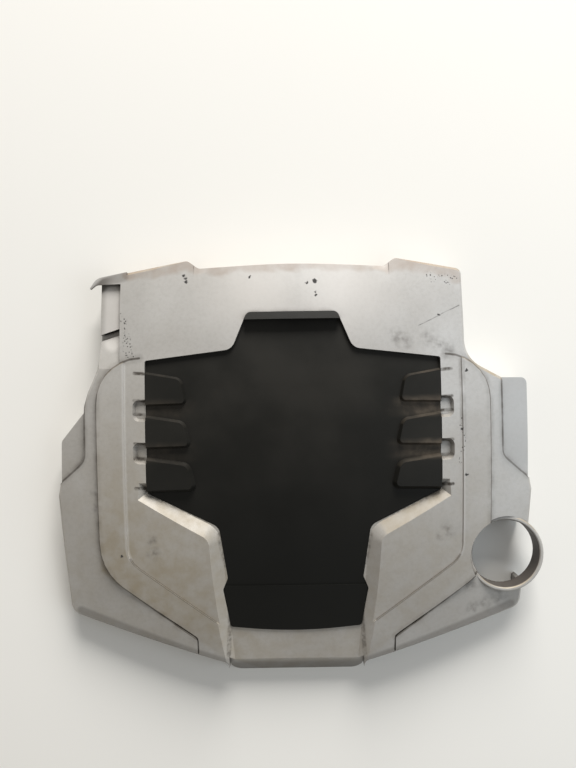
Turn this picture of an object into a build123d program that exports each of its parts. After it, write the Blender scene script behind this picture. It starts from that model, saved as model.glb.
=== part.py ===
"""Engine cover for a V engine: a silver moulded shell, a black centre panel and four rubber grommets.

The cover lies face up on its rim: +X is its right-hand side, +Y its rear and +Z up.
It is drawn about its middle line, X = 0, and the last step moves it over the middle of its box.
"""

import os
from math import asin, cos, degrees, radians, sqrt, tan

from build123d import *

# Crowned skins: a profile from rear to front, swung about a far axis that runs along Y
apron_top = 74.0
apron_peak_y = 36.0
apron_arc = 1110.0
apron_swing = 1300.0
bank_swing = 3050.0
bank_meets_apron = 166.0
panel_top = 62.5
panel_peak_y = 60.0
panel_arc = 800.0
panel_fall = 0.144
skin_reach = 320.0

# Moulding
wall = 3.0
edge_bevel = 3.2
bank_bevel = 1.6
corner = 7.0
headroom = 130.0
below = 60.0

# Plan of the shell
rear_middle = 228.5
rear_middle_arc = 900.0
rear_dip_x = 106.0
rear_dip_y = 223.4
pad_x = 119.0
pad_y = 233.0
flank_x = 196.6
flank_rear = 220.5
flank_front = 116.6
flank_flare = 34.0
ear_fold_x = 240.0
ear_fold_front = 5.0
ear_x = 273.0
ear_rear = 93.5
ear_front = -24.0
ear_drop = 8.0
ear_skew = 0.5
skirt_x = 275.5
skirt_rear = -36.0
skirt_foot_x = 264.5
skirt_foot_y = -176.0
nose_x = 80.0
nose_rear = -235.5
nose_front = -257.0
nose_lean = 40.0
nose_taper = 3.0
nose_edge = 1.0
left_ear_rear = 27.0
left_neck_x = 242.0
left_neck_y = 60.0
left_tuck = 2.0
left_ear_tuck = 3.0

# Low strip at the left, with its slot, ramp and lip
strip_x = 221.0
strip_wall_y = 215.8
strip_rear = 208.0
strip_drop = 6.0
slot_rear = 157.0
slot_wide = 7.0
slot_slant = 17.0
slot_drop = 12.0
ramp_front = 110.0
ramp_angle = 14.0
ramp_foot_x = 236.0
ramp_foot_y = 82.0
ramp_head_x = 223.5
ramp_bend = 30.0
strip_front = 133.0
strip_bend = 20.0
lip_tip_x = 237.0
lip_tip_y = 199.5
lip_thick = 3.0
lip_bend_x = 226.0
lip_root_rise = 1.4
lip_tip_round = 1.0

# Raised banks with their crease
bank_x = 223.5
bank_rear = 121.5
bank_rear_arc = 50.0
bank_knee = -123.0
bank_knee_arc = 65.0
bank_toe_x = 115.0
bank_toe_y = -203.5
crease_x = 191.0
crease_knee = -109.0
crease_knee_arc = 30.0
crease_slope = 0.75
crease_rise = 1.8
crease_end_x = 57.3

# Rear scoop between the pads
scoop_x = 112.0
scoop_y = 172.0
scoop_angle = 4.5
scoop_lead = 20.0

# Centre panel and its seat
panel_x = 166.5
hood_y = 171.5
hood_x = 50.7
shoulder_x = 68.0
shoulder_y = 129.5
panel_corner_y = 118.0
wing_y = -32.5
waist_x = 86.6
waist_y = -72.4
step_x = 78.0
step_y = -134.0
plate_x = 83.5
plate_y = -147.0
panel_front_x = 75.8
panel_front_y = -192.5
panel_front_bow = 7.0
panel_front_arc = 560.0
panel_thick = 2.6
panel_gap = 0.6
seat_gap = 0.1
ledge = 9.0
rim_wide = 8.5
rim_angle = 10.0
plate_back = -143.0
plate_rise = 2.0
panel_corner = 2.0
plate_corner = 3.0

# Valley between the wings
valley_tip_x = 168.0
valley_tip_y = -26.0
valley_corner = 30.0
valley_lean = 48.0
valley_depth = 22.0

# Blocks and channels at each side of the panel
block_count = 3
block_pitch = 48.3
block_first = 101.0
block_tall = 29.0
block_fall = 6.5
block_end = 129.0
block_step = 3.5
block_slant = 5.0
block_lean = 27.0
block_crest = 68.0
block_deep = 30.0
block_root = 54.0
block_sink = 0.3
block_bevel = 2.0
notch_end = 177.0
notch_round = 3.0
notch_reach = 20.0

# Filler collar
collar_x = 243.4
collar_y = -109.8
collar_bore = 39.0
collar_wall = 4.8
collar_top = 44.0
collar_depth = 22.0
collar_bevel = 1.5

# Bosses and ribs on the hidden side, and the rubber grommets in the bosses
boss_rear_x = 140.0
boss_rear_y = 165.0
boss_front_x = 150.0
boss_front_y = -105.0
boss_foot = 18.0
boss_plate = 2.5
boss_wall = 2.5
boss_room = 0.8
rib_thick = 2.0
rib_foot = 36.0
rib_long = 80.0
root_sink = 0.5
stud_bore = 5.0
stud_deep = 13.0
grommet_neck = 8.0
grommet_flange = 11.0
grommet_foot = 3.0
grommet_tall = 18.0
grommet_crown = 9.5
neck_gap = 0.1


def lowered(solid, drop):
    """The same solid, moved down."""
    return solid.moved(Location((0, 0, -drop)))


def crown_height(y, top, peak_y, arc):
    """Height on the middle line of a crown that curves like a long arc."""
    return top - (y - peak_y) ** 2 / 2 / arc


def crowned(top, peak_y, arc, swing, fall=None):
    """Solid under a skin: a long crown from rear to front, swung about a far axis that runs along Y.

    Where a fall is given, the crown runs on at that slope once it has reached it.
    """
    front = -skin_reach if fall is None else peak_y - fall * arc
    heel = Vector(skin_reach, crown_height(skin_reach, top, peak_y, arc))
    toe = Vector(front, crown_height(front, top, peak_y, arc))
    turn = degrees(asin(skin_reach / swing))
    hinge = Axis((0, 0, top - swing), (0, 1, 0))
    with BuildPart() as under:
        with BuildSketch(Plane.YZ):
            with BuildLine():
                if fall is None:
                    ThreePointArc(heel, (peak_y, top), toe)
                else:
                    middle_y = (skin_reach + front) / 2
                    rise = (skin_reach - peak_y) / arc * (skin_reach - middle_y)
                    Bezier(heel, (middle_y, heel.Y + rise), toe)
                    far = Vector(-skin_reach, toe.Y - fall * (toe.X + skin_reach))
                    toe = Bezier(toe, (toe + far) / 2, far) @ 1
                Polyline(toe, (toe.X, -below), (heel.X, -below), heel)
            make_face()
        revolve(axis=hinge, revolution_arc=2 * turn)
    return under.part.rotate(hinge, -turn)


def plan(corners):
    """Closed outline from corners given as x, y and radius."""
    with BuildSketch() as outline:
        with BuildLine():
            FilletPolyline(*[(x, y) for x, y, _ in corners], radius=[r for _, _, r in corners], close=True)
        make_face()
    return outline.sketch


def both_sides(corners, middle=()):
    """Right-hand corners, any on the middle line, then the right-hand ones mirrored, going round."""
    return [*corners, *middle, *[(-x, y, r) for x, y, r in reversed(corners)]]


def grown(outline, amount):
    """The same outline moved outwards by an amount, or inwards by a negative one."""
    if amount == 0:
        return outline
    with BuildSketch() as moved:
        add(outline)
        offset(amount=amount, kind=Kind.INTERSECTION)
    return moved.sketch


def prism(outline, low, high):
    """Upright bar on an outline."""
    with BuildPart() as bar:
        with BuildSketch(Plane.XY.offset(low)):
            add(outline)
        extrude(amount=high - low)
    return bar.part


def slab(outline, skin, floor=0.0, bevel=0.0):
    """Prism on an outline, from a floor up to a skin, with its upper edge bevelled."""
    with BuildPart() as body:
        with BuildSketch(Plane.XY.offset(floor)):
            add(outline)
        extrude(amount=headroom - floor)
        add(skin, mode=Mode.INTERSECT)
        if bevel > 0:
            chamfer(body.faces().sort_by(Axis.Z)[-1].edges(), bevel)
    return body.part


def over(outline, skin, floor=0.0, reach=headroom, lean=0.0):
    """Cutter for what lies over a skin within an outline, whose walls lean out from the floor."""
    with BuildPart() as cutter:
        with BuildSketch(Plane.XY.offset(floor)):
            add(outline)
        extrude(amount=reach, taper=-lean)
        add(skin, mode=Mode.SUBTRACT)
    return cutter.part


# Outlines
cover_right = [
    (rear_dip_x, rear_dip_y, corner),
    (pad_x, pad_y, corner),
    (flank_x, flank_rear, corner),
    (flank_x, flank_front, flank_flare),
    (ear_fold_x, ear_rear + ear_skew, corner),
    (ear_x, ear_rear, corner),
    (ear_x, ear_front, corner),
    (skirt_x, skirt_rear, corner),
    (skirt_foot_x, skirt_foot_y, 2 * corner),
    (nose_x, nose_rear, corner),
    (nose_x - nose_taper, nose_front, 2 * corner),
]
cover_left = [
    (-nose_x + nose_taper, nose_front, 2 * corner),
    (-nose_x, nose_rear, corner),
    (-skirt_foot_x, skirt_foot_y, 2 * corner),
    (-skirt_x + left_tuck, skirt_rear, corner),
    (-ear_x + left_tuck, ear_front, corner),
    (-ear_x + left_ear_tuck, left_ear_rear, corner),
    (-left_neck_x, left_neck_y, corner),
    (-ramp_foot_x, ramp_foot_y, corner),
    (-ramp_head_x, ramp_front, ramp_bend),
    (-strip_x, strip_front, strip_bend),
    (-strip_x, strip_wall_y, corner),
    (-pad_x, pad_y, corner),
    (-rear_dip_x, rear_dip_y, corner),
]
cover_plan = plan([(0, rear_middle, rear_middle_arc)] + cover_right + cover_left)
bank_plan = plan(
    both_sides(
        [
            (bank_x, bank_rear, bank_rear_arc),
            (bank_x, bank_knee, bank_knee_arc),
            (bank_toe_x, bank_toe_y, corner),
            (bank_toe_x, 2 * nose_front, 0),
        ]
    )
)
crease_plan = plan(
    both_sides(
        [
            (crease_x, 2 * bank_rear, 0),
            (crease_x, crease_knee, crease_knee_arc),
            (crease_end_x, crease_knee - (crease_x - crease_end_x) * crease_slope, 0),
        ]
    )
)
panel_plan = plan(
    both_sides(
        [
            (hood_x, hood_y, corner),
            (shoulder_x, shoulder_y, 2 * corner),
            (panel_x, panel_corner_y, panel_corner),
            (panel_x, wing_y, panel_corner),
            (waist_x, waist_y, 2 * corner),
            (step_x, step_y, plate_corner),
            (plate_x, plate_y, plate_corner),
            (panel_front_x, panel_front_y, plate_corner),
        ],
        [(0, panel_front_y - panel_front_bow, panel_front_arc)],
    )
)
ear_corners = [
    (ear_fold_x, 2 * ear_rear, 0),
    (ear_fold_x, ear_fold_front, 2 * corner),
    (ear_x, ear_front, 2 * corner),
    (2 * ear_x, ear_front, 0),
    (2 * ear_x, 2 * ear_rear, 0),
]
right_ear_plan = plan(ear_corners)
left_ear_plan = plan([(-x, y, r) for x, y, r in ear_corners])

# Height at which the bank's flatter skin leaves the apron's
bank_top = apron_top - bank_meets_apron**2 / 2 * (1 / apron_swing - 1 / bank_swing)


def apron_skin(drop=0.0):
    """Solid under the apron, moved down by a drop."""
    return lowered(crowned(apron_top, apron_peak_y, apron_arc, apron_swing), drop)


def bank_skin(drop=0.0):
    """Solid under the banks, moved down by a drop."""
    return lowered(crowned(bank_top, apron_peak_y, apron_arc, bank_swing), drop)


def panel_skin(drop=0.0):
    """Solid under the centre panel's field, moved down by a drop."""
    return lowered(crowned(panel_top, panel_peak_y, panel_arc, bank_swing, panel_fall), drop)


def valley(inset):
    """Cutter between the wings: an outline along the panel's fall, leaning out to a wider one above."""
    lean = tan(radians(valley_lean))
    knee_y = panel_peak_y - panel_arc * panel_fall
    knee_z = crown_height(knee_y, panel_top, panel_peak_y, panel_arc)
    stretch = sqrt(1 + panel_fall**2)
    tuck = lean * (panel_x**2 - waist_x**2) / 2 / bank_swing
    tip_y = wing_y + (valley_tip_x - panel_x) * (wing_y - waist_y) / (panel_x - waist_x)
    lead = (waist_x - panel_front_x) / (waist_y - panel_front_y)
    far = 2 * nose_front
    corners = [
        (valley_tip_x, valley_tip_y, 0),
        (valley_tip_x, tip_y, 0),
        (waist_x - tuck, waist_y, valley_corner),
        (panel_front_x - tuck + lead * (far - panel_front_y), far, 0),
    ]
    foot = plan(both_sides([(x, (y - knee_y) * stretch, r) for x, y, r in corners]))
    origin = (0, knee_y, knee_z - panel_x**2 / 2 / bank_swing - inset)
    slope = Plane(origin, x_dir=(1, 0, 0), z_dir=(0, -panel_fall, 1))
    with BuildPart() as cutter:
        with BuildSketch(slope):
            add(grown(foot, inset / 2))
        with BuildSketch(slope.offset(valley_depth)):
            add(grown(foot, inset / 2 + valley_depth * lean))
        loft(ruled=True)
        add(panel_skin(inset), mode=Mode.SUBTRACT)
    return cutter.part


def notch_plan(index, side):
    """Floor of the channel over one block, where it runs out into the bank."""
    low = block_first - index * block_pitch + block_bevel
    high = block_first - (index - 1) * block_pitch - block_tall - block_bevel
    inner = panel_x - 2 * corner
    corners = [
        (inner, high, 0),
        (notch_end, high, notch_round),
        (notch_end, low, notch_round),
        (inner, low, 0),
    ]
    return plan([(side * x, y, r) for x, y, r in corners])


def notch(index, side, inset):
    """Cutter for one notch with leaning walls, or on the inside for a plain relief under it."""
    outline = grown(notch_plan(index, side), 2 * inset)
    if inset == 0:
        return over(outline, panel_skin(), block_root, notch_reach, block_lean)
    ends = outline.bounding_box()
    stray = max(ends.max.Y - panel_peak_y, panel_peak_y - ends.min.Y)
    floor = crown_height(panel_peak_y - stray, panel_top, panel_peak_y, panel_arc)
    floor -= notch_end**2 / 2 / bank_swing + inset
    return prism(outline, floor, headroom)


def nose_cut(inset):
    """Cutter in front of the leaning nose."""
    foot = nose_front + inset / cos(radians(nose_lean))
    brow = foot + headroom * tan(radians(nose_lean))
    far = 2 * nose_front
    with BuildPart() as cutter:
        with BuildSketch(Plane.YZ):
            with BuildLine():
                Polyline((foot, 0), (brow, headroom), (far, headroom), (far, 0), close=True)
            make_face()
        extrude(amount=nose_x - nose_edge, both=True)
    return cutter.part


def tipped_skin(y, angle, drop=0.0):
    """Solid under the apron, turned down at the rear about a line across it, then moved down by a drop."""
    hinge = Axis((0, y, crown_height(y, apron_top, apron_peak_y, apron_arc)), (1, 0, 0))
    return lowered(apron_skin().rotate(hinge, -angle), drop)


def left_strip(inset):
    """Cutters for the low strip outside the left flank, its slanted slot and the ramp in front of it."""
    near = -flank_x + inset
    far = -strip_x - 3 * corner
    slot_far = slot_rear + (far - near) * tan(radians(slot_slant))
    slot = [(near, slot_rear), (near, slot_rear - slot_wide), (far, slot_far - slot_wide), (far, slot_far)]
    strip = [(near, strip_rear + inset), (near, slot_rear), (far, slot_far), (far, strip_rear + inset)]
    ramp = [(near, slot_rear), (near, ramp_front), (far, ramp_front), (far, slot_far)]
    skins = [
        apron_skin(slot_drop + inset),
        apron_skin(strip_drop + inset),
        tipped_skin(ramp_front, ramp_angle, inset),
    ]
    plans = [plan([(x, y, 0) for x, y in corners]) for corners in (slot, strip, ramp)]
    return [over(outline, skin) for outline, skin in zip(plans, skins)]


def form(inset, floor):
    """The shell's outside moved in by inset, standing on a floor."""
    apron = slab(grown(cover_plan, -inset), apron_skin(inset), floor, edge_bevel if inset == 0 else 0)
    with BuildSketch() as bank_outline:
        add(grown(bank_plan, -inset))
        add(grown(cover_plan, -inset), mode=Mode.INTERSECT)
    bank_here = bank_skin(inset - crease_rise)
    bank = slab(bank_outline.sketch, bank_here, floor, bevel=bank_bevel if inset == 0 else 0)
    column = prism(bank_outline.sketch, floor, headroom)
    scoop_edge = scoop_x + inset
    scoop = plan(both_sides([(scoop_edge, 2 * scoop_y, 0), (scoop_edge, scoop_y - scoop_lead, 0)]))
    cuts = [
        over(scoop, tipped_skin(scoop_y, scoop_angle, inset)),
        over(grown(right_ear_plan, inset), apron_skin(ear_drop + inset)),
        over(grown(left_ear_plan, inset), apron_skin(ear_drop + inset)),
    ]
    cuts += left_strip(inset)
    hollows = [
        over(grown(crease_plan, inset), bank_skin(inset)),
        valley(inset),
        over(grown(panel_plan, panel_gap + inset), panel_skin(panel_thick + seat_gap + inset)),
        nose_cut(inset),
    ]
    for index in range(1, block_count):
        for side in (1, -1):
            hollows.append(notch(index, side, inset))
    hollows.append(disc(collar_x, collar_y, collar_bore + collar_wall + inset, collar_top - inset, headroom))
    with BuildPart() as body:
        add(apron)
        for cut in cuts:
            add(cut, mode=Mode.SUBTRACT)
        add(column, mode=Mode.SUBTRACT)
        add(bank)
        for hollow in hollows:
            add(hollow, mode=Mode.SUBTRACT)
    return body.solids().sort_by(SortBy.VOLUME)[-1]


def disc(x, y, radius, low, high):
    """Upright round bar."""
    with BuildSketch() as outline:
        with Locations((x, y)):
            Circle(radius)
    return prism(outline.sketch, low, high)


def collar():
    """Filler collar with a bevelled rim."""
    with BuildPart() as ring:
        add(disc(collar_x, collar_y, collar_bore + collar_wall, collar_top - collar_depth, collar_top))
        add(disc(collar_x, collar_y, collar_bore, 0, headroom), mode=Mode.SUBTRACT)
        chamfer(ring.faces().sort_by(Axis.Z)[-1].edges(), collar_bevel)
    return ring.part


def curled_lip():
    """Tongue that curls out over the left strip from the rear corner."""
    root = -flank_x + corner
    outline = plan(
        [
            (root, flank_rear + lip_root_rise, 0),
            (-lip_bend_x, strip_wall_y, 2 * corner),
            (-lip_tip_x, lip_tip_y, lip_tip_round),
            (-lip_bend_x, strip_rear, corner),
            (root, strip_rear, 0),
        ]
    )
    with BuildPart() as tongue:
        add(slab(outline, apron_skin()))
        add(apron_skin(lip_thick), mode=Mode.SUBTRACT)
    return tongue.part


def underside():
    """Four hollow bosses and the ribs that tie them to the walls, up to the inside of the shell."""
    boss_bore = grommet_flange + boss_room
    with BuildPart() as posts:
        for x, y in boss_spots:
            add(disc(x, y, boss_bore + boss_wall, boss_foot, headroom))
        with BuildSketch(Plane.XY.offset(rib_foot)):
            for x, y in boss_spots:
                side = 1 if x > 0 else -1
                end = 1 if y > 0 else -1
                with Locations((x, y + end * rib_long / 2)):
                    Rectangle(rib_thick, rib_long)
                if y > 0:
                    with Locations((x + side * rib_long / 2, y)):
                        Rectangle(rib_long, rib_thick)
        extrude(amount=headroom)
        for x, y in boss_spots:
            add(disc(x, y, boss_bore, boss_foot + boss_plate, 2 * headroom), mode=Mode.SUBTRACT)
            add(disc(x, y, grommet_neck, boss_foot, 2 * headroom), mode=Mode.SUBTRACT)
        add(lowered(inner, -root_sink), mode=Mode.INTERSECT)
    return posts.part


def block_plan(index, side):
    """Top of one raised block at a side of the panel."""
    rear = block_first - index * block_pitch
    end = block_end - index * block_step
    far = panel_x + corner
    corners = [
        (far, rear, 0),
        (end, rear - block_fall, corner),
        (end - block_slant, rear - block_tall, panel_corner),
        (far, rear - block_tall, 0),
    ]
    return plan([(side * x, y, r) for x, y, r in corners])


def within(outline, limits):
    """The part of an outline inside another."""
    with BuildSketch() as common:
        add(outline)
        add(limits, mode=Mode.INTERSECT)
    return common.sketch


def block(index, side):
    """One raised block, its walls leaning in to a top just under the bank's skin."""
    with BuildPart() as body:
        with BuildSketch(Plane.XY.offset(block_crest)):
            add(block_plan(index, side))
        extrude(amount=-block_deep, taper=-block_lean)
        add(bank_skin(block_sink), mode=Mode.INTERSECT)
        add(slab(panel_plan, apron_skin()), mode=Mode.INTERSECT)
    return body.part


def block_core(index, side):
    """Hollow under one block, with a flat ceiling."""
    outline = within(grown(block_plan(index, side), -panel_thick), grown(panel_plan, -panel_thick))
    ends = outline.bounding_box()
    stray = max(ends.max.Y - apron_peak_y, apron_peak_y - ends.min.Y)
    ceiling = crown_height(apron_peak_y - stray, bank_top, apron_peak_y, apron_arc)
    ceiling -= panel_x**2 / 2 / bank_swing + block_sink + panel_thick
    return prism(outline, 0, ceiling)


def grommet(x, y):
    """Rubber grommet in a boss's plate, open below for a ball stud."""
    low = boss_foot - grommet_foot
    shoulder = boss_foot + boss_plate
    top = low + grommet_tall
    with BuildPart() as turned:
        with BuildSketch(Plane((x, y, 0), x_dir=(1, 0, 0), z_dir=(0, -1, 0))):
            with BuildLine():
                Polyline(
                    (stud_bore, low),
                    (grommet_flange, low),
                    (grommet_flange, boss_foot),
                    (grommet_neck - neck_gap, boss_foot),
                    (grommet_neck - neck_gap, shoulder),
                    (grommet_crown, shoulder),
                    (grommet_crown, top),
                    (0, top),
                    (0, low + stud_deep),
                    (stud_bore, low + stud_deep),
                    close=True,
                )
            make_face()
        revolve(axis=Axis((x, y, 0), (0, 0, 1)))
    return turned.part


boss_spots = [
    (-boss_rear_x, boss_rear_y),
    (boss_rear_x, boss_rear_y),
    (-boss_front_x, boss_front_y),
    (boss_front_x, boss_front_y),
]
outer = form(0, 0)
inner = form(wall, -below)

with BuildPart() as cover_shell:
    add(outer)
    add(inner, mode=Mode.SUBTRACT)
    add(curled_lip())
    add(disc(collar_x, collar_y, collar_bore + collar_wall / 2, 0, headroom), mode=Mode.SUBTRACT)
    add(collar())
    add(prism(grown(panel_plan, -ledge), 0, headroom), mode=Mode.SUBTRACT)
    add(underside())

with BuildSketch() as rim_band:
    with Locations((0, hood_y)):
        Rectangle(2 * panel_x, 2 * rim_wide)
rim_plan = within(panel_plan, rim_band.sketch)
with BuildSketch() as plate_band:
    with Locations((0, nose_front)):
        Rectangle(2 * panel_x, 2 * (plate_back - nose_front))
plate_plan = within(panel_plan, plate_band.sketch)

with BuildPart() as centre_panel:
    add(slab(panel_plan, panel_skin()))
    add(slab(rim_plan, tipped_skin(hood_y, rim_angle)))
    add(slab(plate_plan, panel_skin(-plate_rise)))
    for index in range(block_count):
        for side in (1, -1):
            add(block(index, side))
    add(panel_skin(panel_thick), mode=Mode.SUBTRACT)
    rim_core = slab(grown(rim_plan, -panel_thick), tipped_skin(hood_y, rim_angle, panel_thick))
    add(rim_core, mode=Mode.SUBTRACT)
    plate_core = slab(grown(plate_plan, -panel_thick), panel_skin(panel_thick - plate_rise))
    add(plate_core, mode=Mode.SUBTRACT)
    for index in range(block_count):
        for side in (1, -1):
            add(block_core(index, side), mode=Mode.SUBTRACT)

with BuildPart() as grommets:
    for x, y in boss_spots:
        add(grommet(x, y))

middle = cover_shell.part.bounding_box().center()
pieces = {
    "cover_shell": cover_shell,
    "centre_panel": centre_panel,
    "grommets": grommets,
}
os.makedirs("parts", exist_ok=True)
for name, piece in pieces.items():
    piece.part.label = name
    piece.part.move(Location((-middle.X, -middle.Y, 0)))
    export_step(piece.part, f"parts/{name}.step")
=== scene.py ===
# %% [markdown]
# # An engine cover: silver shell, black panel, rubber grommets
#
# The shapes come from the imported solid model, so this lesson is about finish: silver paint that has aged under
# a bonnet, black grained plastic with dust in its channels, and plain rubber on the hidden side. The first cell
# loads the model.

# %% Load the cover
import math

import bpy
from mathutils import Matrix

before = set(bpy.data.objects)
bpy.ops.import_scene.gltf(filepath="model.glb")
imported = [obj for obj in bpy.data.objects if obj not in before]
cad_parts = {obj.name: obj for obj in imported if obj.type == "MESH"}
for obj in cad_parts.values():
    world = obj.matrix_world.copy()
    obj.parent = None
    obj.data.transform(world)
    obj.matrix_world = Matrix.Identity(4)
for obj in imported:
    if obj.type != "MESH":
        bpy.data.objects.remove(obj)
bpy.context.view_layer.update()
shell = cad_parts["cover_shell"]
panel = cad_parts["centre_panel"]
grommets = [node for name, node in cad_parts.items() if name.startswith("grommet")]

# %% [markdown]
# ## The camera
#
# The cover is seen face on by a phone held about 0.78 m away, a little above the middle of the cover and turned by
# less than a degree. The cover lies on its rim here, so the same camera looks straight down on it.

# %% Camera over the cover
eye = (-0.0123, 0.1021, 0.783)
roll = -0.0155
camera = bpy.data.objects.new("camera", bpy.data.cameras.new("camera"))
camera.data.lens = 30.0
camera.data.sensor_width = 36.0
camera.location = eye
camera.rotation_euler = (0.0, 0.0, roll)
bpy.context.scene.collection.objects.link(camera)
bpy.context.scene.camera = camera
print("camera at", eye, "with a lens of", camera.data.lens, "mm")

# %% [markdown]
# ## Floor and light
#
# A pale floor takes the soft shadow. One wide lamp stands low beyond the rear edge, where the room's light came
# from, so that faces which tip towards the rear are the brightest. A cool lamp at the right and a warm one at the
# left are much weaker, and a dim world keeps the hollows readable.

# %% Floor, lamps and world
floor_size = 6.0
floor_mesh = bpy.data.meshes.new("floor")
half = floor_size / 2
floor_mesh.from_pydata(
    [(-half, -half, 0), (half, -half, 0), (half, half, 0), (-half, half, 0)], [], [(0, 1, 2, 3)]
)
floor = bpy.data.objects.new("floor", floor_mesh)
bpy.context.scene.collection.objects.link(floor)
floor_paint = bpy.data.materials.new("floor_paint")
floor_paint.use_nodes = True
floor_shader = floor_paint.node_tree.nodes["Principled BSDF"]
floor_shader.inputs["Base Color"].default_value = (0.82, 0.805, 0.765, 1.0)
floor_shader.inputs["Roughness"].default_value = 0.9
floor_mesh.materials.append(floor_paint)


def lamp(name, place, target, size, watts, tint):
    """Square area lamp that faces a point."""
    data = bpy.data.lights.new(name, "AREA")
    data.size = size
    data.energy = watts
    data.color = tint
    thing = bpy.data.objects.new(name, data)
    thing.location = place
    aim = [t - p for t, p in zip(target, place)]
    flat = math.hypot(aim[0], aim[1])
    thing.rotation_euler = (math.atan2(flat, -aim[2]), 0.0, math.atan2(aim[0], -aim[1]) + math.pi)
    bpy.context.scene.collection.objects.link(thing)
    return thing


cover_middle = (0.0, 0.0, 0.05)
lamp("rear_lamp", (0.60, 4.00, 1.93), cover_middle, 2.1, 300.0, (1.0, 0.985, 0.96))
lamp("right_lamp", (1.30, -0.10, 1.20), cover_middle, 1.2, 8.0, (0.80, 0.90, 1.0))
lamp("left_lamp", (-1.30, -0.30, 0.90), cover_middle, 1.4, 1.2, (1.0, 0.92, 0.80))
world = bpy.data.worlds.new("room")
world.use_nodes = True
world.node_tree.nodes["Background"].inputs["Color"].default_value = (1.0, 0.98, 0.945, 1.0)
world.node_tree.nodes["Background"].inputs["Strength"].default_value = 0.27
bpy.context.scene.world = world
bpy.context.scene.view_settings.view_transform = "Standard"

# %% [markdown]
# ## Soft shading on the moulded faces
#
# The solids arrive as separate flat triangles. A moulded skin has no facets, so each node gets a small modifier that
# joins the triangles, shades them smoothly and keeps real corners sharp, as where a wing meets the wall of the
# valley. Normals that follow the larger faces keep the flat ones flat.

# %% Smooth shading by angle
corner_angle = math.radians(30.0)
joining_gap = 1e-6

softening = bpy.data.node_groups.new("softening", "GeometryNodeTree")
softening.interface.new_socket("Geometry", in_out="INPUT", socket_type="NodeSocketGeometry")
softening.interface.new_socket("Geometry", in_out="OUTPUT", socket_type="NodeSocketGeometry")


def add(tree, kind, inputs=None, **settings):
    """New node in a tree, with its inputs given as values or as sockets to link."""
    made = tree.nodes.new(kind)
    for key, value in settings.items():
        setattr(made, key, value)
    for key, value in (inputs or {}).items():
        if isinstance(value, bpy.types.NodeSocket):
            tree.links.new(value, made.inputs[key])
        else:
            made.inputs[key].default_value = value
    return made


arriving = add(softening, "NodeGroupInput").outputs[0]
joined = add(softening, "GeometryNodeMergeByDistance", {"Geometry": arriving, "Distance": joining_gap})
rounded = add(softening, "GeometryNodeSetShadeSmooth", {"Geometry": joined.outputs[0]}, domain="FACE")
bend = add(softening, "GeometryNodeInputMeshEdgeAngle").outputs["Unsigned Angle"]
gentle = add(softening, "FunctionNodeCompare", {0: bend, 1: corner_angle}, data_type="FLOAT", operation="LESS_EQUAL")
shaded = add(
    softening,
    "GeometryNodeSetShadeSmooth",
    {"Geometry": rounded.outputs[0], "Shade Smooth": gentle.outputs[0]},
    domain="EDGE",
)
add(softening, "NodeGroupOutput", {0: shaded.outputs[0]})

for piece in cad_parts.values():
    piece.modifiers.new("softening", "NODES").node_group = softening
    weighted = piece.modifiers.new("weighted", "WEIGHTED_NORMAL")
    weighted.keep_sharp = True
print("softened:", [piece.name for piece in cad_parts.values()])

# %% [markdown]
# ## Patterns shared by the materials
#
# Every pattern reads Object coordinates, which are the cover's own metres. A blot is a mask round a place on the face
# and a streak is one along a line. Both are read through a little noise, so their edges come out uneven, as chips and
# smears are. The cover is the same on both sides but for its filler collar, so most lines are drawn once and mirrored
# in its middle line.

# %% Pattern helpers
middle_line = -0.00687


def maths(tree, operation, first, second=0.0):
    """Result of one sum on two numbers."""
    return add(tree, "ShaderNodeMath", {0: first, 1: second}, operation=operation).outputs[0]


def times(tree, first, second):
    """Product of two numbers, as where one mask limits another."""
    return maths(tree, "MULTIPLY", first, second)


def between(tree, mask, low, high):
    """Mask from 0 to 1, brought to a range from low to high."""
    return maths(tree, "ADD", times(tree, mask, high - low), low)


def vector(tree, operation, first, second):
    """Result of one vector sum that gives a vector."""
    return add(tree, "ShaderNodeVectorMath", {0: first, 1: second}, operation=operation).outputs["Vector"]


def noise(tree, where, scale, detail=3.0):
    """Noise from 0 to 1, with a scale in waves per metre."""
    made = add(tree, "ShaderNodeTexNoise", {"Vector": where, "Scale": scale, "Detail": detail})
    return made.outputs["Fac"]


def fade(tree, value, start, end):
    """0 at start and 1 at end, smooth between them."""
    limits = {"Value": value, "From Min": start, "From Max": end}
    made = add(tree, "ShaderNodeMapRange", limits, interpolation_type="SMOOTHSTEP", clamp=False)
    return made.outputs["Result"]


def blend(tree, amount, under, over):
    """One colour laid over another."""
    return add(tree, "ShaderNodeMix", {0: amount, 6: under, 7: over}, data_type="RGBA").outputs[2]


def uneven(tree, where, amount, scale):
    """Place on the face, without its height, shaken by noise."""
    shake = add(tree, "ShaderNodeTexNoise", {"Vector": where, "Scale": scale, "Detail": 2.0}).outputs["Color"]
    centred = vector(tree, "SUBTRACT", shake, (0.5, 0.5, 0.5))
    moved = vector(tree, "ADD", where, vector(tree, "MULTIPLY", centred, (amount, amount, 0.0)))
    return vector(tree, "MULTIPLY", moved, (1.0, 1.0, 0.0))


def distance(tree, first, second):
    """Distance between two places."""
    return add(tree, "ShaderNodeVectorMath", {0: first, 1: second}, operation="DISTANCE").outputs["Value"]


def blot(tree, where, x, y, radius):
    """Mask that is 1 round a place on the face, in millimetres."""
    gap = distance(tree, where, (x / 1000, y / 1000, 0.0))
    return fade(tree, gap, radius / 1000, 0.55 * radius / 1000)


def haze(tree, where, x, y, radius):
    """Mask that falls off softly from a place on the face, in millimetres."""
    return fade(tree, distance(tree, where, (x / 1000, y / 1000, 0.0)), radius / 1000, 0.0)


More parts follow.
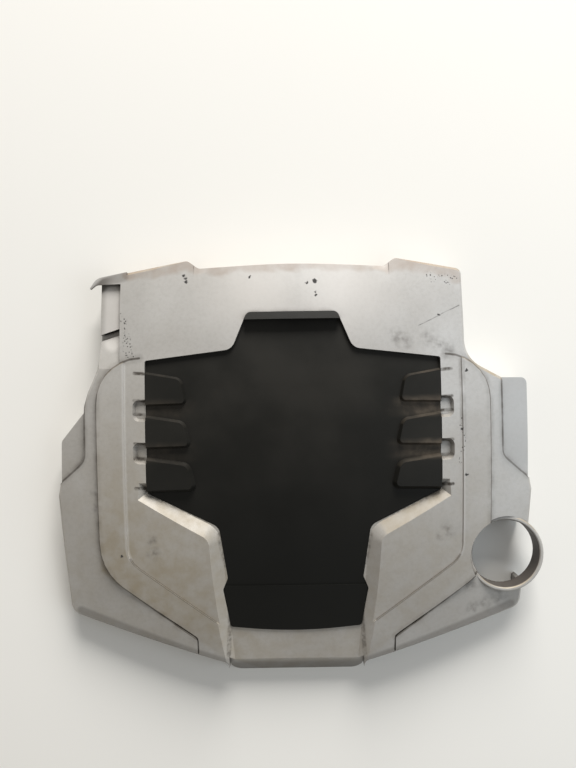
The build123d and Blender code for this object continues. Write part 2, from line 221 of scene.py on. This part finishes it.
def line_gap(tree, where, start, end):
    """Distance to a line on the face that is given in millimetres."""
    first = [v / 1000 for v in start] + [0.0]
    run = [(e - s) / 1000 for s, e in zip(start, end)] + [0.0]
    offset = vector(tree, "SUBTRACT", where, first)
    dot = add(tree, "ShaderNodeVectorMath", {0: offset, 1: run}, operation="DOT_PRODUCT").outputs["Value"]
    share = maths(tree, "DIVIDE", dot, sum(v * v for v in run))
    along = maths(tree, "MINIMUM", maths(tree, "MAXIMUM", share, 0.0), 1.0)
    nearest = add(tree, "ShaderNodeVectorMath", {0: run, "Scale": along}, operation="SCALE").outputs["Vector"]
    return distance(tree, offset, nearest)


def chain_gap(tree, where, places):
    """Distance to a chain of lines through some places."""
    least = 1.0
    for ends in zip(places, places[1:]):
        least = maths(tree, "MINIMUM", line_gap(tree, where, *ends), least)
    return least


def near(tree, gap, width):
    """Mask that is 1 close to a line and gone at a width in millimetres."""
    return fade(tree, gap, width / 1000, 0.4 * width / 1000)


def streak(tree, where, start, end, width):
    """Mask that is 1 along a line on the face, in millimetres."""
    return near(tree, line_gap(tree, where, start, end), width)


def mirrored(tree, where):
    """Place measured from the cover's middle line, the same on both sides."""
    parts = add(tree, "ShaderNodeSeparateXYZ", {0: where})
    across = maths(tree, "ABSOLUTE", maths(tree, "SUBTRACT", parts.outputs["X"], middle_line))
    return add(tree, "ShaderNodeCombineXYZ", {0: across, 1: parts.outputs["Y"]}).outputs[0]


def most(tree, masks):
    """The strongest of some masks at each place, made and folded in one by one."""
    top = 0.0
    for mask in masks:
        top = maths(tree, "MAXIMUM", mask, top)
    return top


def new_material(name):
    """Empty material: its tree, its shader and the place on the piece."""
    made = bpy.data.materials.new(name)
    made.use_nodes = True
    tree = made.node_tree
    where = add(tree, "ShaderNodeTexCoord").outputs["Object"]
    return made, tree, tree.nodes["Principled BSDF"], where


def finish_with(tree, shader, color, roughness, height, depth):
    """Links a colour, a roughness and a bump of some depth to a shader."""
    bump = add(tree, "ShaderNodeBump", {"Height": height, "Strength": 1.0, "Distance": depth})
    tree.links.new(color, shader.inputs["Base Color"])
    tree.links.new(roughness, shader.inputs["Roughness"])
    tree.links.new(bump.outputs["Normal"], shader.inputs["Normal"])


print("patterns ready")

# %% [markdown]
# ## Silver paint
#
# The shell is moulded in dark plastic and sprayed with a fine silver. Paint with flake in it is part metal and part
# lacquer, so the shader is only partly metallic. Heat and dust have greyed it unevenly: a broad noise gives the tone,
# a fine one the flake, and one between them the mottling of old paint.

# %% Silver paint on the shell
silver = (0.535, 0.53, 0.52, 1.0)
silver_shade = (0.47, 0.46, 0.445, 1.0)
dust_film_and_shade = (0.295, 0.232, 0.135, 1.0)
grime_and_shade = (0.070, 0.059, 0.048, 1.0)

paint, tree, shader, where = new_material("silver_paint")
shader.inputs["Metallic"].default_value = 0.32
tone = fade(tree, noise(tree, where, 9.0), 0.35, 0.65)
flake = noise(tree, where, 1400.0, 1.0)
mottle = fade(tree, noise(tree, where, 230.0, 3.0), 0.40, 0.72)
color = blend(tree, tone, silver, silver_shade)
color = blend(tree, times(tree, fade(tree, flake, 0.3, 0.75), 0.14), color, dust_film_and_shade)
color = blend(tree, times(tree, mottle, 0.07), color, grime_and_shade)
print("silver paint: base with", len(tree.nodes), "nodes")

# %% [markdown]
# Dust settles in a warm film, thicker towards the front, where road dirt comes in. The same film is painted shade
# as well: it is darker towards the front and the left. The foot of the front edge is painted darkest, as painted
# shade. The walls of the front valley face the rear, so dust lies on them too, and the film also dulls their bright
# reflection as painted shade. The rear edge has a browner band, where hot air leaves the cover. The middle of the
# rear is painted lighter, as a painted highlight, the right ear is painted darker, as painted shade, and the strip
# beside the left-hand edge is painted lighter, as a painted highlight. The film thins out past the bank seam, on the
# steep skirts.

# %% Dust and painted shade over the front, painted light and a brown band at the rear
rear_brown = (0.33, 0.25, 0.195, 1.0)
painted_light_silver = (0.70, 0.67, 0.635, 1.0)
rear_edge = [(-193.5, 229.8), (-126.4, 242.8), (-113.8, 235.1), (-40.0, 239.5), (35.6, 240.1), (100.8, 236.2)]
rear_edge += [(108.0, 241.2), (176.4, 230.7), (183.0, 222.0)]
lit_strip = ((-214.0, 213.0), (-214.0, 152.0))
highlit_places = [(-45.0, 212.0, 95.0), (45.0, 212.0, 95.0)]
painted_shade_grey = (0.36, 0.36, 0.355, 1.0)
shaded_ear = ((255.0, 90.0), (255.0, 25.0))
seam_side = 0.2235
seam_slant = (0.596, 0.804)
seam_front = 0.2222

soft_face = uneven(tree, where, 0.016, 45.0)
fine_face = uneven(tree, where, 0.002, 60.0)
spot = add(tree, "ShaderNodeSeparateXYZ", {0: where})
patchy = fade(tree, noise(tree, where, 60.0, 5.0), 0.25, 0.75)
to_front = fade(tree, spot.outputs["Y"], 0.16, -0.16)
leftward = fade(tree, spot.outputs["X"], 0.05, -0.20)
facing = add(tree, "ShaderNodeSeparateXYZ", {0: add(tree, "ShaderNodeTexCoord").outputs["Normal"]})
leaning = times(tree, fade(tree, facing.outputs["Y"], 0.30, 0.55), fade(tree, facing.outputs["Z"], 0.35, 0.60))
# Dust on the walls that face the rear, which also dulls their reflection as painted shade.
wall_dust_and_shade = times(tree, leaning, between(tree, patchy, 0.40, 0.75))
across = maths(tree, "ABSOLUTE", maths(tree, "SUBTRACT", spot.outputs["X"], middle_line))
past_side = maths(tree, "SUBTRACT", across, seam_side)
slanted = maths(tree, "SUBTRACT", times(tree, across, seam_slant[0]), times(tree, spot.outputs["Y"], seam_slant[1]))
past_front = maths(tree, "SUBTRACT", slanted, seam_front)
on_skirt = fade(tree, maths(tree, "MAXIMUM", past_side, past_front), -0.003, 0.004)
# Dust film that is also painted shade, darker towards the front and the left and thinner on the skirts.
dust_and_shade = times(tree, to_front, between(tree, patchy, 0.22, 0.46))
dust_and_shade = times(tree, dust_and_shade, between(tree, leftward, 0.75, 1.30))
dust_and_shade = maths(tree, "ADD", dust_and_shade, times(tree, leftward, 0.14))
dust_and_shade = times(tree, dust_and_shade, between(tree, on_skirt, 1.0, 0.45))
dust_and_shade = maths(tree, "MAXIMUM", dust_and_shade, wall_dust_and_shade)
# Painted highlight: the middle of the rear is painted lighter.
painted_rear_highlight = most(tree, (haze(tree, soft_face, *place) for place in highlit_places))
color = blend(tree, times(tree, painted_rear_highlight, 0.55), color, painted_light_silver)
# Painted shade: the right ear is painted a darker grey.
color = blend(tree, times(tree, streak(tree, soft_face, *shaded_ear, 40.0), 0.55), color, painted_shade_grey)
color = blend(tree, dust_and_shade, color, dust_film_and_shade)
# Painted shade: the foot of the front edge is painted dark.
shaded_foot = times(tree, fade(tree, spot.outputs["Z"], 0.030, 0.014), fade(tree, spot.outputs["Y"], -0.18, -0.23))
color = blend(tree, times(tree, shaded_foot, 0.55), color, grime_and_shade)
browned = times(tree, near(tree, chain_gap(tree, soft_face, rear_edge), 11.0), between(tree, patchy, 0.20, 0.55))
color = blend(tree, browned, color, rear_brown)
# Painted highlight: the strip beside the left-hand edge is painted lighter.
color = blend(tree, times(tree, streak(tree, fine_face, *lit_strip, 13.0), 0.65), color, painted_light_silver)
print("film laid, rear edge in", len(rear_edge) - 1, "runs")

# %% [markdown]
# The two banks are edged by a stepped seam, and dirt stays in its foot as a thin dark line. The ears have such a line
# in their fold. Ambient occlusion over a short reach finds the other corners, which are painted dark as dirt and
# painted shade. The crease inside each bank is rounded: beside the panel it gets a painted highlight, at the right
# rear it is rubbed dark with dirt, and along its front run it is painted dark, as painted shade on its lit wall.

# %% Dirt in the seam and the ear fold, painted shade in corners, painted highlight on the crease
corner_reach = 0.026
painted_crease_highlight = (0.68, 0.675, 0.66, 1.0)


def arc(x, y, radius, start, end, steps):
    """Places along an arc, from one angle to another."""
    angles = [math.radians(start + (end - start) * step / steps) for step in range(steps + 1)]
    return [(x + radius * math.cos(angle), y + radius * math.sin(angle)) for angle in angles]


seam = [*arc(173.5, 83.7, 50.0, 90.0, 0.0, 7), *arc(158.5, -78.1, 65.0, 0.0, -53.4, 5), (115.0, -191.3)]
ear_fold = [(239.5, 104.0), *arc(258.0, 26.0, 18.5, 180.0, 232.0, 4), (270.0, -8.0)]
crease_side = [(191.0, 126.0), (191.0, -82.0), *arc(161.0, -81.8, 30.0, 0.0, -26.0, 2)]
crease_front = [*arc(161.0, -81.8, 30.0, -26.0, -53.1, 2), (92.5, -170.7)]

flat = vector(tree, "MULTIPLY", where, (1.0, 1.0, 0.0))
folded = mirrored(tree, flat)
seam_gap = chain_gap(tree, folded, seam)
fold_gap = chain_gap(tree, folded, ear_fold)
side_gap = chain_gap(tree, folded, crease_side)
front_gap = chain_gap(tree, folded, crease_front)
at_right = fade(tree, spot.outputs["X"], -0.02, 0.02)
rear_half = fade(tree, spot.outputs["Y"], 0.02, 0.06)

occlusion = add(tree, "ShaderNodeAmbientOcclusion", {"Distance": corner_reach}, samples=8).outputs["AO"]
# Dirt and painted shade: the corners that ambient occlusion finds are painted dark.
corner_dirt_and_shade = times(tree, fade(tree, occlusion, 0.90, 0.35), between(tree, patchy, 0.25, 1.0))
off_crease = fade(tree, maths(tree, "MINIMUM", side_gap, front_gap), 0.0036, 0.0090)
color = blend(tree, times(tree, corner_dirt_and_shade, off_crease), color, grime_and_shade)
# Painted highlight: a light band along the crease beside the panel.
color = blend(tree, times(tree, near(tree, side_gap, 3.0), between(tree, at_right, 0.30, 0.18)), color, painted_crease_highlight)
rear_right = times(tree, at_right, rear_half)
# Rubbed dirt at the right rear of the crease, and painted shade along its front run.
rubbed_dirt_and_shade = times(tree, times(tree, near(tree, side_gap, 4.6), rear_right), times(tree, patchy, 0.45))
rubbed_dirt_and_shade = maths(tree, "MAXIMUM", rubbed_dirt_and_shade, times(tree, near(tree, front_gap, 1.3), 0.46))
color = blend(tree, rubbed_dirt_and_shade, color, grime_and_shade)
smudged = maths(tree, "MAXIMUM", near(tree, seam_gap, 7.0), near(tree, fold_gap, 6.0))
color = blend(tree, times(tree, smudged, times(tree, patchy, 0.22)), color, grime_and_shade)
lines = maths(tree, "MAXIMUM", near(tree, seam_gap, 1.8), near(tree, fold_gap, 2.2))
color = blend(tree, times(tree, lines, between(tree, patchy, 0.50, 0.90)), color, grime_and_shade)
print("seam in", len(seam) - 1, "runs, ear fold in", len(ear_fold) - 1)

# %% [markdown]
# Hands, oil and road dirt have marked the same places on both sides: the walls of the front valley and the joint
# between wing and lip. The channel ends beside the panel get painted shadows along their top edges, and the front
# edge of the skirts is painted dark, as painted shade where it rolls away. The inside of the filler collar is brown
# all round, as dirt and painted shade, and the curled lip at the rear left is dark at its end.

# %% Smudges, painted shadows and painted shade on both sides, and the filler collar
collar_dirt_and_shade = (0.055, 0.041, 0.032, 1.0)
notch_shadow_rows = (116.0, 85.3, 69.7, 36.4, 19.3, -14.0)
smudge_lines = [
    ((168.0, -20.0), (92.0, -55.0), 5.0),
    ((86.0, -70.0), (79.0, -106.0), 5.0),
    ((76.5, -158.0), (79.5, -214.0), 3.4),
]
skirt_edge_shade = ((252.0, -161.0), (82.0, -222.5))
curled_lip = [(-237.0, 210.5), (-223.0, 222.5), (-200.0, 228.5)]
collar_place = (0.2365, -0.0976, 0.0)
collar_inside = 0.0396

rough = fade(tree, noise(tree, where, 190.0, 4.0), 0.36, 0.66)
# Painted shadows along the top edges of the channel ends beside the panel.
notch_shadows = most(tree, (streak(tree, folded, (168.0, row), (179.0, row + 0.8), 2.6) for row in notch_shadow_rows))
color = blend(tree, times(tree, notch_shadows, between(tree, rough, 0.35, 0.95)), color, grime_and_shade)
rubs = most(tree, (streak(tree, folded, *line) for line in smudge_lines))
color = blend(tree, times(tree, rubs, between(tree, rough, 0.15, 0.60)), color, grime_and_shade)
# Painted shade along the front edge of the skirts, where it rolls away.
color = blend(tree, times(tree, streak(tree, folded, *skirt_edge_shade, 8.0), 0.38), color, grime_and_shade)
lip_end = fade(tree, spot.outputs["X"], -0.205, -0.232)
lip = times(tree, near(tree, chain_gap(tree, flat, curled_lip), 8.0), between(tree, lip_end, 0.36, 0.80))
color = blend(tree, lip, color, grime_and_shade)
# Dirt and painted shade: the inside of the filler collar is painted dark brown.
inside = fade(tree, distance(tree, flat, collar_place), collar_inside, collar_inside - 0.0004)
color = blend(tree, times(tree, inside, 0.88), color, collar_dirt_and_shade)
print("smudges:", len(notch_shadow_rows), "strokes and", len(smudge_lines), "lines on each side")

# %% [markdown]
# The other marks are single events, so each has its own place, read off the photograph. Smears are soft and faint.
# Chips and specks are hard-edged and show the dark moulding, as does the scratch on the right-hand side.

# %% Smears, specks, chips and the scratch
moulding = (0.045, 0.042, 0.040, 1.0)
smears = [
    (113.0, 152.5, 15.0),
    (121.0, 148.5, 12.0),
    (147.9, 152.3, 15.0),
    (158.0, 145.0, 12.0),
    (168.7, 138.4, 13.0),
    (167.8, -66.0, 14.0),
    (160.0, -71.0, 10.0),
    (-168.5, -72.0, 9.0),
    (-167.5, -88.0, 10.0),
    (194.3, -132.8, 13.0),
    (228.9, -149.8, 17.0),
    (212.0, -157.0, 14.0),
    (199.0, -163.0, 12.0),
    (-233.0, -22.0, 9.0),
    (-232.5, -37.0, 10.0),
    (-232.0, -52.0, 10.0),
    (-231.0, -66.0, 9.0),
]
specked_lines = [
    ((150.0, 226.0), (158.0, 217.0), 4.0),
    ((164.0, 224.0), (184.0, 221.0), 3.4),
    ((170.0, 217.0), (174.0, 213.0), 3.0),
    ((-201.5, 183.0), (-199.0, 165.0), 4.0),
    ((-196.0, 158.0), (-190.0, 134.3), 6.0),
    ((182.0, 60.0), (182.0, 10.0), 2.2),
]
chips = [
    (-129.5, 228.5, 1.9),
    (-128.0, 224.8, 2.3),
    (-127.0, 220.5, 2.0),
    (-54.5, 224.7, 2.0),
    (10.9, 216.6, 1.9),
    (20.0, 219.6, 3.2),
    (20.8, 206.6, 1.7),
    (20.4, 202.4, 2.1),
    (160.0, 178.3, 1.6),
    (189.6, 114.8, 1.9),
    (183.0, 49.0, 2.0),
    (187.0, -2.9, 1.9),
    (-204.2, -91.8, 1.8),
]
scratch = ((136.2, 166.2), (184.8, 189.1))

face = uneven(tree, where, 0.006, 260.0)
smear = most(tree, (haze(tree, soft_face, *place) for place in smears))
smear = times(tree, smear, fade(tree, noise(tree, where, 150.0, 7.0), 0.28, 0.82))
color = blend(tree, times(tree, smear, 0.62), color, grime_and_shade)
specked = most(tree, (streak(tree, soft_face, *line) for line in specked_lines))
dots = add(tree, "ShaderNodeTexVoronoi", {"Vector": where, "Scale": 380.0}).outputs["Distance"]
specks = times(tree, specked, fade(tree, dots, 0.36, 0.22))
scratched = times(tree, streak(tree, fine_face, *scratch, 0.8), between(tree, rough, 0.25, 0.60))
marks = most(tree, (blot(tree, face, *place) for place in chips))
marks = most(tree, (marks, specks, scratched))
color = blend(tree, marks, color, moulding)
worn = between(tree, maths(tree, "MAXIMUM", corner_dirt_and_shade, dust_and_shade), 0.47, 0.70)
finish_with(tree, shader, color, worn, flake, 0.00004)
shell.data.materials.clear()
shell.data.materials.append(paint)
print("silver paint on", shell.name, "with", len(chips), "chips and", len(smears), "smears")

# %% [markdown]
# ## Black plastic
#
# The panel is moulded in black with a fine grain etched in the mould, and it isn't painted. The cover stood upright
# in the photograph and on the shelf, so brown dust lies on the walls that face its rear edge and in the channels
# between the blocks. The field is painted lighter towards its rear edge, as a painted sheen.

# %% Black plastic on the centre panel
black = (0.0072, 0.0072, 0.0060, 1.0)
painted_sheen_black = (0.019, 0.0175, 0.0145, 1.0)
dust = (0.17, 0.135, 0.10, 1.0)
channels = [((108.0, 74.5), (170.0, 76.0)), ((102.0, 26.0), (170.0, 27.5))]

plastic, tree, shader, where = new_material("black_plastic")
shader.inputs["Specular IOR Level"].default_value = 0.20
grain = noise(tree, where, 1700.0, 2.0)
cloud = fade(tree, noise(tree, where, 14.0, 4.0), 0.30, 0.72)
spot = add(tree, "ShaderNodeSeparateXYZ", {0: where})
to_rear = fade(tree, spot.outputs["Y"], -0.12, 0.10)
# Painted sheen: the field is painted lighter towards its rear edge.
color = blend(tree, times(tree, to_rear, between(tree, cloud, 0.35, 1.0)), black, painted_sheen_black)
print("black plastic: base with", len(tree.nodes), "nodes")

# %% [markdown]
# The dust lies on two places that a rule can find: the channels, which are two straight runs on each side, and the
# block walls that face the rear, which the normal shows. There is much more of it at the right than at the left.

# %% Dust in the channels
folded = mirrored(tree, uneven(tree, where, 0.003, 50.0))
facing = add(tree, "ShaderNodeSeparateXYZ", {0: add(tree, "ShaderNodeTexCoord").outputs["Normal"]})
ledges = fade(tree, facing.outputs["Y"], 0.20, 0.42)
outward = fade(tree, add(tree, "ShaderNodeSeparateXYZ", {0: folded}).outputs["X"], 0.100, 0.150)
broken = fade(tree, noise(tree, where, 90.0, 5.0), 0.30, 0.70)
to_right = fade(tree, spot.outputs["X"], -0.05, 0.10)
filled = times(tree, most(tree, (streak(tree, folded, *run, 14.0) for run in channels)), 0.50)
lying = times(tree, maths(tree, "MAXIMUM", times(tree, ledges, 0.26), filled), outward)
lying = times(tree, lying, between(tree, to_right, 0.28, 1.0))
color = blend(tree, times(tree, lying, between(tree, broken, 0.35, 1.0)), color, dust)
finish_with(tree, shader, color, between(tree, cloud, 0.46, 0.58), grain, 0.00008)
panel.data.materials.clear()
panel.data.materials.append(plastic)
print("black plastic on", panel.name)

# %% [markdown]
# ## Rubber
#
# The grommets are soft black rubber, pushed into the bosses on the hidden side. Rubber is matt and greys a little
# with age.

# %% Rubber on the grommets
rubber_black = (0.014, 0.014, 0.014, 1.0)
rubber_grey = (0.032, 0.031, 0.030, 1.0)

rubber, tree, shader, where = new_material("grommet_rubber")
bloom = fade(tree, noise(tree, where, 120.0, 4.0), 0.35, 0.70)
color = blend(tree, bloom, rubber_black, rubber_grey)
finish_with(tree, shader, color, between(tree, bloom, 0.70, 0.82), noise(tree, where, 900.0, 2.0), 0.00005)
for piece in grommets:
    piece.data.materials.clear()
    piece.data.materials.append(rubber)
print("rubber on", [piece.name for piece in grommets])

# %% [markdown]
# ## Size
#
# Nothing was added to the outside of the cover, so its box must be the one that the solid model had.

# %% Finish
print("finished")
